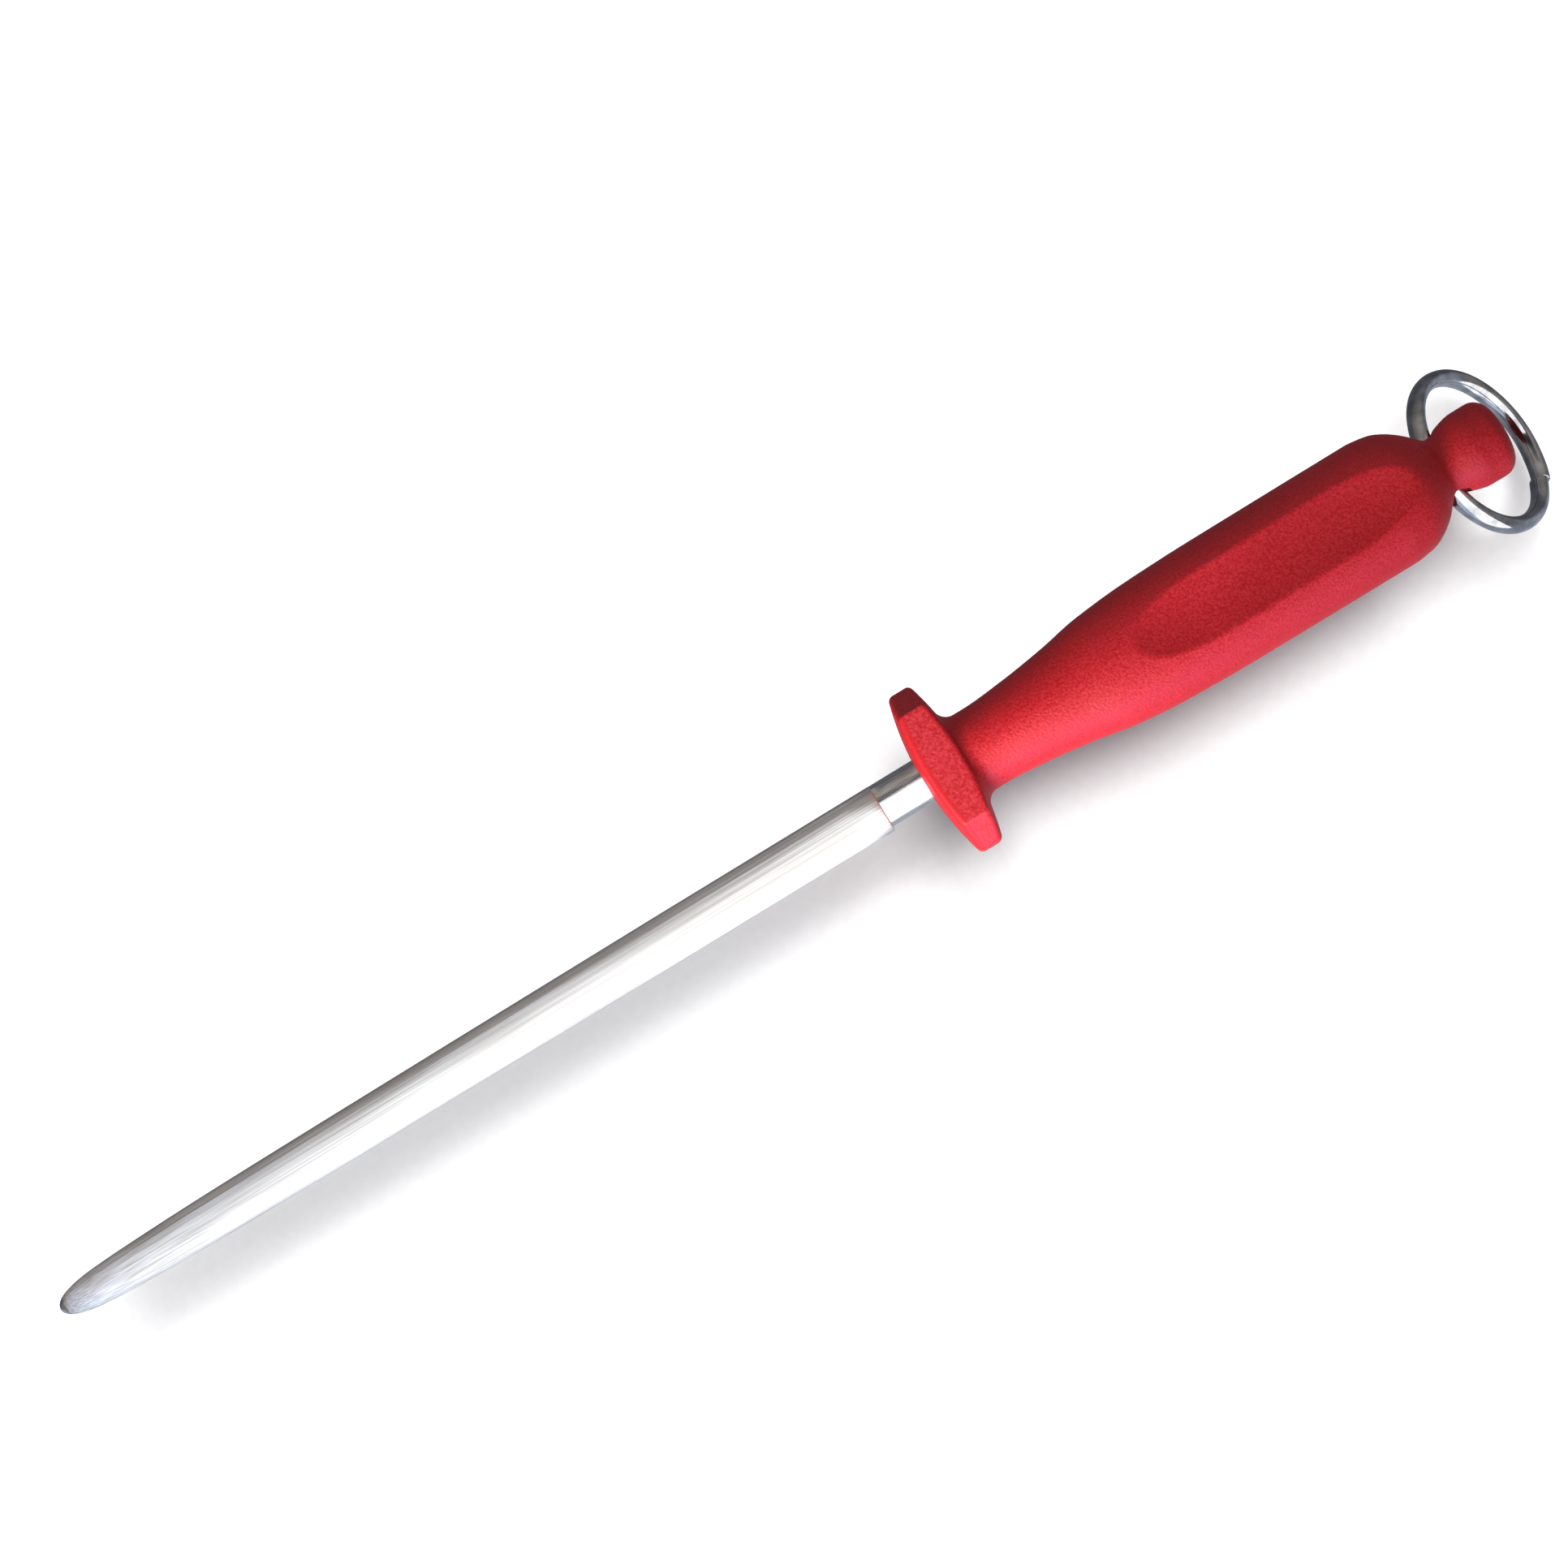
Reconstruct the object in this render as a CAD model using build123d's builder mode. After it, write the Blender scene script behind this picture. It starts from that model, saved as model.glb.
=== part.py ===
from build123d import *
from math import cos, degrees, radians, sin
import os

# Knife sharpening steel: a cut steel rod, a one-piece moulded handle with guard and knob, and a hang ring.
#
# Millimetres. +X runs along the rod's axis from the tip towards the handle, +Y along the guard's long
# side and +Z up. The origin is on the rod's axis, at the shoulder where the cut length ends.

# Rod: the cut length, its long taper and its rounded nose
rod_length = 254.0  # guard's front to tip
rod_diameter = 13.0
rod_taper_length = 180.0  # tip to where the rod is at its full diameter
rod_taper_shape = (  # distance from the tip, share of the full radius there
    (110.0, 0.963),
    (52.0, 0.908),
    (26.0, 0.823),
    (10.4, 0.700),
    (2.7, 0.450),
)
rod_shoulder_chamfer = 0.3

# Smooth neck between the cut length and the guard, ground slightly off the rod's axis
neck_length = 12.2
neck_diameter = 11.8
neck_offset = 0.55  # towards +Y

# Tang: the square end of the rod that the handle is moulded round
neck_in_handle = 10.0
tang_side = 8.0
tang_length = 96.0  # guard's front to the tang's end
tang_corner_radius = 0.8
tang_clearance = 0.05
notch_count = 3
notch_pitch = 20.0
notch_length = 5.0
notch_depth = 0.9
first_notch = 26.0  # guard's front to the middle of the first notch

# Guard: an elongated octagon with domed faces
guard_width = 45.0  # along Y
guard_height = 26.0  # along Z
guard_thickness = 12.8  # along X, on the axis
guard_flat_width = 31.0  # the upper and lower facets
guard_end_height = 8.0  # the end facets
guard_dome_radius = 80.0
guard_edge_radius = 1.2
guard_root_radius = 3.0  # guard's back to the handle

# Grip: round behind the guard, swelling to a wide oval
handle_neck_diameter = 21.7
grip_width = 34.8
grip_thickness = 27.2
swell_start = 18.0  # guard's front to where the grip starts to swell
swell_length = 70.0
swell_shape = (  # share of the swell's length, share of the swell there
    (0.0, 0.0),
    (0.17, 0.14),
    (0.35, 0.40),
    (0.52, 0.73),
    (0.74, 0.92),
    (1.0, 0.985),
)
grip_length = 134.3  # guard's front to where the grip's shoulder starts
shoulder_length = 17.3
shoulder_shape = (  # share of the shoulder's length, shares of the width and of the thickness still left
    (0.0, 1.0, 1.0),
    (0.17, 0.966, 0.985),
    (0.35, 0.905, 0.955),
    (0.53, 0.755, 0.86),
    (0.71, 0.52, 0.64),
    (0.88, 0.225, 0.30),
    (1.0, 0.0, 0.0),
)

# Thumb scoops: troughs in the upper and lower faces, with a level floor that curves up at both ends
scoop_depth = 2.8  # below the middle of the grip's face
scoop_floor_length = 38.0
scoop_setback = 14.5  # level floor's back end to the grip's shoulder
scoop_cross_radius = 42.0
scoop_front_radius = 85.0
scoop_back_radius = 115.0
scoop_end_turn = 20.0  # degrees that each end of the trough curves up
scoop_edge_radius = 0.8

# Knob behind the grip, on a round neck that the ring passes through
knob_neck_diameter = 16.4
knob_diameter = 20.8
knob_flare_length = 10.0  # hole's axis to where the knob is at its full diameter
knob_length = 18.9  # hole's axis to the knob's end
knob_corner_radius = 4.0
knob_dome_height = 0.9

# Ring hole and hang ring
hole_setback = 17.0  # grip's shoulder to the hole's axis
hole_flare_radius = 1.2
ring_outer_diameter = 47.9
wire_radial = 4.2  # wire thickness in the ring's plane
wire_axial = 5.4  # wire thickness across the ring's plane
ring_clearance = 0.35  # wire to hole
ring_drop_angle = 45.0  # degrees that the ring lies below the handle's axis
joint_gap = 0.2  # between the ends of the wire
joint_angle = -39.0  # degrees round the ring from straight out, towards -Y

os.makedirs("parts", exist_ok=True)

guard_front = neck_length
guard_back = guard_front + guard_thickness
rod_radius = rod_diameter / 2
tip = guard_front - rod_length

# Neck and tang, which the rod ends in and the handle is moulded round
neck_end = guard_front + neck_in_handle
tang_end = guard_front + tang_length
notch_centres = [guard_front + first_notch + step * notch_pitch for step in range(notch_count)]


def shank(clearance):
    """Round neck and notched square tang, grown all round by a clearance."""
    side = tang_side + 2 * clearance
    core = side - 2 * notch_depth
    with BuildPart() as grown:
        with BuildSketch(Plane.YZ):
            with Locations((neck_offset, 0)):
                Circle(neck_diameter / 2 + clearance)
        extrude(amount=neck_end + clearance)
        with BuildSketch(Plane.YZ.offset(neck_end)):
            with Locations((neck_offset, 0)):
                RectangleRounded(side, side, tang_corner_radius + clearance)
        extrude(amount=tang_end - neck_end + clearance)
        for centre in notch_centres:
            with BuildSketch(Plane.YZ.offset(centre - notch_length / 2 + clearance)):
                with Locations((neck_offset, 0)):
                    Rectangle(2 * side, 2 * side)
                    Rectangle(core, core, mode=Mode.SUBTRACT)
            extrude(amount=notch_length - 2 * clearance, mode=Mode.SUBTRACT)
    return grown.part


# Rod with neck and tang, one piece of steel
taper_points = [(tip + distance, share * rod_radius) for distance, share in rod_taper_shape]
taper_start = (tip + rod_taper_length, rod_radius)

with BuildPart() as rod:
    with BuildSketch(Plane.XY):
        with BuildLine():
            Polyline((tip, 0), (0, 0), (0, rod_radius), taper_start)
            Spline(taper_start, *taper_points, (tip, 0), tangents=((-1, 0), (0, -1)))
        make_face()
    revolve(axis=Axis.X)
    chamfer(rod.edges().filter_by(GeomType.CIRCLE).sort_by(Axis.X)[-1], rod_shoulder_chamfer)
    add(shank(0))
rod.part.label = "rod"
export_step(rod.part, "parts/rod.step")

# Ring: inside the hole the wire bows, so its middle line lies evenly to both sides of the hinge axis
shoulder_x = guard_front + grip_length
hole_x = shoulder_x + hole_setback
wire_circle_radius = (ring_outer_diameter - wire_radial) / 2
wire_bow = wire_circle_radius - (wire_circle_radius**2 - (knob_neck_diameter / 2) ** 2) ** 0.5
hole_radius = max(wire_bow + wire_radial, wire_axial) / 2 + ring_clearance
drop = radians(ring_drop_angle)
outward = Vector(cos(drop), 0, -sin(drop))
ring_centre = Vector(hole_x, 0, 0) + outward * (wire_circle_radius - wire_bow / 2)
ring_plane = Plane(ring_centre, x_dir=outward, z_dir=(sin(drop), 0, cos(drop)))
joint_half_turn = degrees(joint_gap / 2 / wire_circle_radius)

# Handle: guard, grip and knob are one moulding
half_flat = guard_flat_width / 2
half_width = guard_width / 2
half_height = guard_height / 2
half_end = guard_end_height / 2
guard_outline = [
    (half_flat, half_height),
    (half_width, half_end),
    (half_width, -half_end),
    (half_flat, -half_height),
    (-half_flat, -half_height),
    (-half_width, -half_end),
    (-half_width, half_end),
    (-half_flat, half_height),
]
grip_sections = [(guard_front + guard_thickness / 2, handle_neck_diameter, handle_neck_diameter)]
for along, share in swell_shape:
    grip_sections.append(
        (
            guard_front + swell_start + along * swell_length,
            handle_neck_diameter + share * (grip_width - handle_neck_diameter),
            handle_neck_diameter + share * (grip_thickness - handle_neck_diameter),
        )
    )
for along, width_share, thickness_share in shoulder_shape:
    grip_sections.append(
        (
            shoulder_x + along * shoulder_length,
            knob_neck_diameter + width_share * (grip_width - knob_neck_diameter),
            knob_neck_diameter + thickness_share * (grip_thickness - knob_neck_diameter),
        )
    )
knob_end = hole_x + knob_length
knob_radius = knob_diameter / 2
knob_neck_radius = knob_neck_diameter / 2
knob_corner_x = knob_end - knob_dome_height - knob_corner_radius
knob_dome_edge = (knob_end - knob_dome_height, knob_radius - knob_corner_radius)
knob_dome_radius = (knob_dome_edge[1] ** 2 + knob_dome_height**2) / (2 * knob_dome_height)

hole_wall_x = hole_x + hole_radius
mouth_x = hole_wall_x + hole_flare_radius
flare_start = (mouth_x, knob_neck_radius)
flare_end = (hole_wall_x, knob_neck_radius - hole_flare_radius)
scoop_back = shoulder_x - scoop_setback
scoop_front = scoop_back - scoop_floor_length
scoop_floor_height = grip_thickness / 2 - scoop_depth

socket = shank(tang_clearance)

with BuildPart() as scoops:
    with BuildLine(Plane.XZ) as trough:
        floor = Line((scoop_front, scoop_floor_height), (scoop_back, scoop_floor_height))
        JernArc(floor @ 0, -(floor % 0), scoop_front_radius, -scoop_end_turn)
        JernArc(floor @ 1, floor % 1, scoop_back_radius, scoop_end_turn)
    trough_path = trough.wire()
    with BuildSketch(Plane(trough_path @ 0, x_dir=(0, 1, 0), z_dir=trough_path % 0)):
        with Locations((0, scoop_cross_radius)):
            Circle(scoop_cross_radius)
    sweep(path=trough_path)
    mirror(about=Plane.XY)

with BuildPart() as handle:
    # Guard
    with BuildSketch(Plane.YZ.offset(guard_front)):
        with BuildLine():
            Polyline(*guard_outline, close=True)
        make_face()
    extrude(amount=guard_thickness)
    with Locations((guard_front + guard_dome_radius, 0, 0)):
        Sphere(guard_dome_radius, mode=Mode.INTERSECT)
    with Locations((guard_back - guard_dome_radius, 0, 0)):
        Sphere(guard_dome_radius, mode=Mode.INTERSECT)
    fillet(handle.edges(), guard_edge_radius)

    # Grip
    for section_x, section_width, section_thickness in grip_sections:
        with BuildSketch(Plane.YZ.offset(section_x)):
            Ellipse(section_width / 2, section_thickness / 2)
    loft()
    guard_root = handle.edges().filter_by(lambda edge: edge.is_closed).sort_by(Axis.X)[0]
    fillet(guard_root, guard_root_radius)
    add(scoops.part, mode=Mode.SUBTRACT)
    fillet(handle.edges(Select.NEW), scoop_edge_radius)

    # Knob
    with BuildSketch(Plane.XY):
        with BuildLine():
            Polyline((shoulder_x, 0), (shoulder_x, knob_neck_radius), (hole_x, knob_neck_radius))
            Spline(
                (hole_x, knob_neck_radius),
                (hole_x + knob_flare_length, knob_radius),
                tangents=((1, 0), (1, 0)),
            )
            Line((hole_x + knob_flare_length, knob_radius), (knob_corner_x, knob_radius))
            RadiusArc((knob_corner_x, knob_radius), knob_dome_edge, knob_corner_radius)
            RadiusArc(knob_dome_edge, (knob_end, 0), knob_dome_radius)
            Line((knob_end, 0), (shoulder_x, 0))
        make_face()
    revolve(axis=Axis.X)

    # Ring hole, with a rounded flare at each mouth
    with BuildSketch(Plane.XY):
        with BuildLine():
            Polyline(
                flare_start,
                (mouth_x, grip_width),
                (hole_x, grip_width),
                (hole_x, 0),
                (hole_wall_x, 0),
                flare_end,
            )
            RadiusArc(flare_start, flare_end, hole_flare_radius)
        make_face()
        mirror(about=Plane.XZ)
    revolve(axis=Axis((hole_x, 0, 0), (0, 1, 0)), mode=Mode.SUBTRACT)

    # Socket
    add(socket, mode=Mode.SUBTRACT)
handle.part.label = "handle"
export_step(handle.part, "parts/handle.step")

# Hang ring: an oval wire bent to a circle, with its ends butted together
with BuildPart() as hang_ring:
    with BuildLine(ring_plane) as wire_line:
        CenterArc((0, 0), wire_circle_radius, joint_angle + joint_half_turn, 360 - 2 * joint_half_turn)
    with BuildSketch(Plane(wire_line.line @ 0, x_dir=ring_plane.z_dir, z_dir=wire_line.line % 0)):
        Ellipse(wire_axial / 2, wire_radial / 2)
    revolve(axis=Axis(ring_plane.origin, ring_plane.z_dir), revolution_arc=360 - 2 * joint_half_turn)
hang_ring.part.label = "hang_ring"
export_step(hang_ring.part, "parts/hang_ring.step")
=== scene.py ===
import logging
from dataclasses import dataclass, field
from enum import Enum
from math import cos, pi, radians, sin

import bpy
import numpy as np
from mathutils import Matrix, Vector


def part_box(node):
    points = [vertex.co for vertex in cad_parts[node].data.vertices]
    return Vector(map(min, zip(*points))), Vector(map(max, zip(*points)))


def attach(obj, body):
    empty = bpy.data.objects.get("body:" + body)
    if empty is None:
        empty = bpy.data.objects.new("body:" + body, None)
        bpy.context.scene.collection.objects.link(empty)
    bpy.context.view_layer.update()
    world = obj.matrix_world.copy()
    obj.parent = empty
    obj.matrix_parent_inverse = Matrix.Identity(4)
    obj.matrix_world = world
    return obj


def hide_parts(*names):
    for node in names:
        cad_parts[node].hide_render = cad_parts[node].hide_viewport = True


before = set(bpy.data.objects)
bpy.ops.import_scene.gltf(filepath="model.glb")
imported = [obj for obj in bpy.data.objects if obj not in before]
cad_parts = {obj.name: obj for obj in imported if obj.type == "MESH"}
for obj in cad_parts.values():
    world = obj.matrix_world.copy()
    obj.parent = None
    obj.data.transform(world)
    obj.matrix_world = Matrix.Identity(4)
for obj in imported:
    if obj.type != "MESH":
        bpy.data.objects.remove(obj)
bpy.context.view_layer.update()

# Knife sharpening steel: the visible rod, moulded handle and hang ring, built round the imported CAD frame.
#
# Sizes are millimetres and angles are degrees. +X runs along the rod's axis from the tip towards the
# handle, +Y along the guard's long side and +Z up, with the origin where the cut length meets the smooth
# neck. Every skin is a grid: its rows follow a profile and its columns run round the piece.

MM = 0.001
BOX_SLACK = 2e-5  # metres that a piece may stand out of its CAD box and still count as inside it
NOWHERE = 99.0  # a distance from the axis that is outside every piece

# Sizes that two pieces share
NECK_DIAMETER = 11.8  # the rod's smooth neck, which the handle's socket takes
NECK_OFFSET = 0.55  # how far the neck's centre lies towards +Y
NECK_END = 22.2  # where the visible rod ends, inside the socket
SOCKET_CLEARANCE = 0.05
KNOB_NECK = 16.4  # diameter of the waist that the ring's hole crosses
HOLE_AT = 163.5  # place of that hole, and of the ring's hinge

log = logging.getLogger("sharpening_steel")


# ---------------------------------------------------------------- numbers


def linear_colour(sheet_colour: str) -> tuple[float, float, float, float]:
    """Turns an sRGB hex colour into Blender's linear colour.

    Args:
        sheet_colour: six hex digits after a hash.

    Returns:
        Linear red, green, blue and an alpha of one.
    """
    channels = [int(sheet_colour[i : i + 2], 16) / 255 for i in (1, 3, 5)]
    return (*[c / 12.92 if c <= 0.04045 else ((c + 0.055) / 1.055) ** 2.4 for c in channels], 1.0)


def fair_curve(at: np.ndarray, along: np.ndarray, value: np.ndarray) -> np.ndarray:
    """Cubic through given points that never overshoots them.

    Each span is a Hermite cubic. A point's slope is the harmonic mean of the slopes of its two spans, or
    zero where they differ in sign, and an end takes the slope of its own span.

    Args:
        at: where to read the curve.
        along: rising positions of the points.
        value: the points' heights.

    Returns:
        The curve's height at each place in `at`.
    """
    run = np.diff(along)
    slope = np.diff(value) / run
    turn = np.zeros(len(along))
    same = slope[1:] * slope[:-1] > 0
    turn[1:-1][same] = 2 * slope[1:][same] * slope[:-1][same] / (slope[1:][same] + slope[:-1][same])
    turn[0], turn[-1] = slope[0], slope[-1]
    span = np.clip(np.searchsorted(along, at, side="right") - 1, 0, len(run) - 1)
    t = np.clip((at - along[span]) / run[span], 0, 1)
    return (
        (1 + 2 * t) * (1 - t) ** 2 * value[span]
        + t * (1 - t) ** 2 * run[span] * turn[span]
        + t * t * (3 - 2 * t) * value[span + 1]
        - t * t * (1 - t) * run[span] * turn[span + 1]
    )


def soft_low(a: np.ndarray, b: np.ndarray, width: float) -> np.ndarray:
    """The lower of two heights, joined by a parabola where they differ by less than the width."""
    share = np.clip(1 - np.abs(a - b) / width, 0, None)
    return np.minimum(a, b) - width * share**2 / 4


def ease(t: np.ndarray) -> np.ndarray:
    """Smooth step from 0 to 1, level at both ends."""
    t = np.clip(t, 0, 1)
    return t * t * (3 - 2 * t)


def whole_turn(count: int) -> np.ndarray:
    """Angles, in radians, of points evenly spaced round one turn."""
    return np.arange(count) / count * 2 * pi


def offset_round(angle: np.ndarray, radius: float, offset: float) -> np.ndarray:
    """Distance from the axis to a circle whose centre lies off it towards +Y, by the cosine rule."""
    return offset * np.cos(angle) + np.sqrt(radius**2 - (offset * np.sin(angle)) ** 2)


def outline(x: np.ndarray | float, radius: np.ndarray) -> np.ndarray:
    """Profile points (x, radius), with the smaller of the two arrays repeated to fit the other."""
    return np.stack(np.broadcast_arrays(x, radius), axis=-1)


def rows_between(start: np.ndarray, end: np.ndarray, steps: int) -> np.ndarray:
    """Even steps from one row of values to another, without those two rows themselves."""
    return start + (end - start) * (np.arange(1, steps) / steps)[:, None]


def corner_arc(start: np.ndarray, corner: np.ndarray, end: np.ndarray, steps: int) -> np.ndarray:
    """Rounds a corner with one rational quadratic, which is a circle's arc where the corner is square.

    Args:
        start: profile point where the rounding begins, for each column.
        corner: the sharp corner.
        end: profile point where it ends.
        steps: rows in the arc, both ends counted.

    Returns:
        Rows of profile points, (steps, columns, 2).
    """
    t = np.linspace(0, 1, steps)[:, None, None]
    weight = np.array([(1 - t) ** 2, np.sqrt(2) * t * (1 - t), t**2])
    return (weight[0] * start + weight[1] * corner + weight[2] * end) / weight.sum(axis=0)


# ---------------------------------------------------------------- meshes


def turned(profile: np.ndarray, angle: np.ndarray) -> np.ndarray:
    """Places (along the axis, away from the axis) points on their rays round the X axis.

    Args:
        profile: rows of (x, radius) for each column, (rows, columns, 2).
        angle: each column's angle from +Y towards +Z.

    Returns:
        Points, (rows, columns, 3).
    """
    x, radius = profile[..., 0], profile[..., 1]
    return np.stack([x, radius * np.cos(angle), radius * np.sin(angle)], axis=-1)


def closed_skin(
    name: str, rings: np.ndarray, start: tuple[float, float, float], end: tuple[float, float, float]
) -> bpy.types.Object:
    """Makes a closed mesh from rings of points, with a fan of triangles at each pole.

    Args:
        name: the piece's name.
        rings: points in millimetres, (rings, points round, 3), each ring joined to the next by quads.
        start: pole that closes the first ring.
        end: pole that closes the last ring.

    Returns:
        The object, at the origin, with its place in its mesh.
    """
    count, around = rings.shape[:2]
    points = np.concatenate([rings.reshape(-1, 3), [start, end]]) * MM
    here = np.arange(around)
    after = np.roll(here, -1)
    row = (np.arange(count - 1) * around)[:, None]
    quads = np.stack([row + here, row + after, row + around + after, row + around + here], axis=-1)
    last = (count - 1) * around
    first_fan = np.stack([np.full(around, count * around), after, here], axis=-1)
    last_fan = np.stack([np.full(around, count * around + 1), last + here, last + after], axis=-1)
    faces = quads.reshape(-1, 4).tolist() + first_fan.tolist() + last_fan.tolist()
    mesh = bpy.data.meshes.new(name)
    mesh.from_pydata(points.tolist(), [], faces)
    mesh.update()
    piece = bpy.data.objects.new(name, mesh)
    bpy.context.scene.collection.objects.link(piece)
    return piece


def face_slots(zones: np.ndarray, around: int, first_pole: Enum, last_pole: Enum) -> np.ndarray:
    """Slot number of each face of a closed skin, in the order in which `closed_skin` makes them.

    Args:
        zones: the slot of the band that follows each row.
        around: faces in one band.
        first_pole: zone of the fan at the first pole.
        last_pole: zone of the fan at the last pole.

    Returns:
        One number for each face: the bands row by row, then the two fans.
    """
    fans = np.repeat([first_pole.value, last_pole.value], around)
    return np.concatenate([np.repeat(zones[:-1], around), fans])


def dress(piece: bpy.types.Object, finishes: list["Finish"], slots: np.ndarray | None = None) -> None:
    """Gives a mesh its materials.

    Args:
        piece: the mesh object.
        finishes: one for each material slot, in order.
        slots: each face's slot number, or nothing where one finish covers the piece.
    """
    for finish in finishes:
        piece.data.materials.append(finish.material())
    if slots is not None:
        piece.data.polygons.foreach_set("material_index", slots.astype(np.int32))


def smooth(piece: bpy.types.Object, crease: float) -> None:
    """Shades a mesh smooth, with a hard edge where its faces turn by more than `crease` degrees."""
    piece.data.shade_smooth()
    piece.data.set_sharp_from_angle(angle=radians(crease))
    piece.data.update()


# ---------------------------------------------------------------- finishes


def add_node(
    tree: bpy.types.NodeTree, kind: str, inputs: dict[int | str, object] | None = None, **settings: object
) -> bpy.types.Node:
    """Adds one node, with its settings, its values and its links.

    Args:
        tree: the node tree of a material or the world.
        kind: Blender's name for the node type.
        inputs: for each input, a value, or an output socket to link to it.
        settings: the node's own properties.

    Returns:
        The new node.
    """
    node = tree.nodes.new(kind)
    for setting, value in settings.items():
        setattr(node, setting, value)
    for socket, value in (inputs or {}).items():
        if isinstance(value, bpy.types.NodeSocket):
            tree.links.new(value, node.inputs[socket])
        else:
            node.inputs[socket].default_value = value
    return node


@dataclass(frozen=True)
class Finish:
    """A real material and the way its surface was made, in two colours that a pattern mixes."""

    name: str
    colour: str
    second_colour: str

    def material(self) -> bpy.types.Material:
        """Makes the node material.

        Returns:
            The material, with this finish's shader.
        """
        made = bpy.data.materials.new(self.name)
        made.use_nodes = True
        tree = made.node_tree
        tree.nodes.clear()
        surface = self.surface(tree)
        add_node(tree, "ShaderNodeOutputMaterial", {"Surface": surface.outputs[0]})
        return made

    def surface(self, tree: bpy.types.NodeTree) -> bpy.types.Node:
        """Builds the shader. Each kind of finish has its own."""
        raise NotImplementedError

    def pattern(
        self, tree: bpy.types.NodeTree, sizes: tuple[float, float, float], detail: float
    ) -> bpy.types.Node:
        """Noise on object coordinates.

        Args:
            tree: the material's node tree.
            sizes: how long one grain is along X, Y and Z.
            detail: how many finer layers lie on it.

        Returns:
            The noise, whose first output is its height.
        """
        place = add_node(tree, "ShaderNodeTexCoord")
        per_metre = tuple(1 / (size * MM) for size in sizes)
        scaled = add_node(tree, "ShaderNodeMapping", {"Vector": place.outputs["Object"], "Scale": per_metre})
        inputs = {"Vector": scaled.outputs[0], "Scale": 1.0, "Detail": detail}
        return add_node(tree, "ShaderNodeTexNoise", inputs)

    def between(
        self, tree: bpy.types.NodeTree, noise: bpy.types.Node, low: float, high: float
    ) -> bpy.types.Node:
        """A value that follows a noise.

        Args:
            tree: the material's node tree.
            noise: a pattern, which seldom leaves the range of 0.35 to 0.65.
            low: the value where the noise is at the bottom of that range.
            high: the value at its top.

        Returns:
            The node, whose first output is the value.
        """
        usual = {"From Min": 0.35, "From Max": 0.65}
        levels = {"Value": noise.outputs[0], **usual, "To Min": low, "To Max": high}
        return add_node(tree, "ShaderNodeMapRange", levels)

    def tint(self, tree: bpy.types.NodeTree, share: bpy.types.NodeSocket) -> bpy.types.Node:
        """Mixes the finish's two colours by a share. The mixed colour is the node's third output."""
        ends = {6: linear_colour(self.colour), 7: linear_colour(self.second_colour)}
        return add_node(tree, "ShaderNodeMix", {0: share, **ends}, data_type="RGBA")


@dataclass(frozen=True)
class Steel(Finish):
    """Bare or plated steel, marked by the tool or the wheel that finished it.

    The marks run along X, so they are long and thin, and they stretch the highlights across the rod.
    """

    roughness: tuple[float, float]
    mark_length: float
    mark_pitch: float
    mark_depth: float

    def surface(self, tree: bpy.types.NodeTree) -> bpy.types.Node:
        """Metal with long marks in its colour and its height, and a slow cloud in its gloss.

        Args:
            tree: the material's node tree.

        Returns:
            The shader.
        """
        marks = self.pattern(tree, (self.mark_length, self.mark_pitch, self.mark_pitch), detail=3.0)
        cloud = self.pattern(tree, (30.0, 8.0, 8.0), detail=2.0)
        tone = self.between(tree, marks, 0.0, 1.0)
        tint = self.tint(tree, tone.outputs[0])
        gloss = self.between(tree, cloud, *self.roughness)
        bump = {"Height": marks.outputs[0], "Strength": 1.0, "Distance": self.mark_depth * MM}
        relief = add_node(tree, "ShaderNodeBump", bump)
        metal = {
            "Base Color": tint.outputs[2],
            "Metallic": 1.0,
            "Roughness": gloss.outputs[0],
            "Normal": relief.outputs[0],
        }
        return add_node(tree, "ShaderNodeBsdfPrincipled", metal)


@dataclass(frozen=True)
class MouldedPlastic(Finish):
    """Polypropylene moulded against a spark-eroded steel mould, whose pits leave rounded grains."""

    roughness: tuple[float, float]
    grain_size: float
    grain_height: float
    speckle: float

    def surface(self, tree: bpy.types.NodeTree) -> bpy.types.Node:
        """Matt plastic with grain in its height, and a little in its colour and its gloss.

        The long, faint streaks in its colour are where the plastic flowed along the mould.

        Args:
            tree: the material's node tree.

        Returns:
            The shader.
        """
        grain = self.pattern(tree, (self.grain_size,) * 3, detail=2.0)
        flow = self.pattern(tree, (40.0, 14.0, 14.0), detail=1.0)
        tone = self.between(tree, grain, 0.0, self.speckle)
        streak = self.between(tree, flow, -0.12, 0.12)
        both = {0: tone.outputs[0], 1: streak.outputs[0]}
        share = add_node(tree, "ShaderNodeMath", both, operation="ADD", use_clamp=True)
        tint = self.tint(tree, share.outputs[0])
        gloss = self.between(tree, grain, *self.roughness)
        bump = {"Height": grain.outputs[0], "Strength": 1.0, "Distance": self.grain_height * MM}
        relief = add_node(tree, "ShaderNodeBump", bump)
        plastic = {
            "Base Color": tint.outputs[2],
            "Roughness": gloss.outputs[0],
            "IOR": 1.49,
            "Normal": relief.outputs[0],
        }
        return add_node(tree, "ShaderNodeBsdfPrincipled", plastic)


@dataclass(frozen=True)
class Paper(Finish):
    """Matt background paper, with fibres that are barely seen."""

    def surface(self, tree: bpy.types.NodeTree) -> bpy.types.Node:
        """Near-white, with a faint mottle.

        Args:
            tree: the material's node tree.

        Returns:
            The shader.
        """
        fibre = self.pattern(tree, (3.0, 3.0, 3.0), detail=3.0)
        tone = self.between(tree, fibre, 0.0, 1.0)
        tint = self.tint(tree, tone.outputs[0])
        return add_node(tree, "ShaderNodeBsdfPrincipled", {"Base Color": tint.outputs[2], "Roughness": 0.9})


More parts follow.
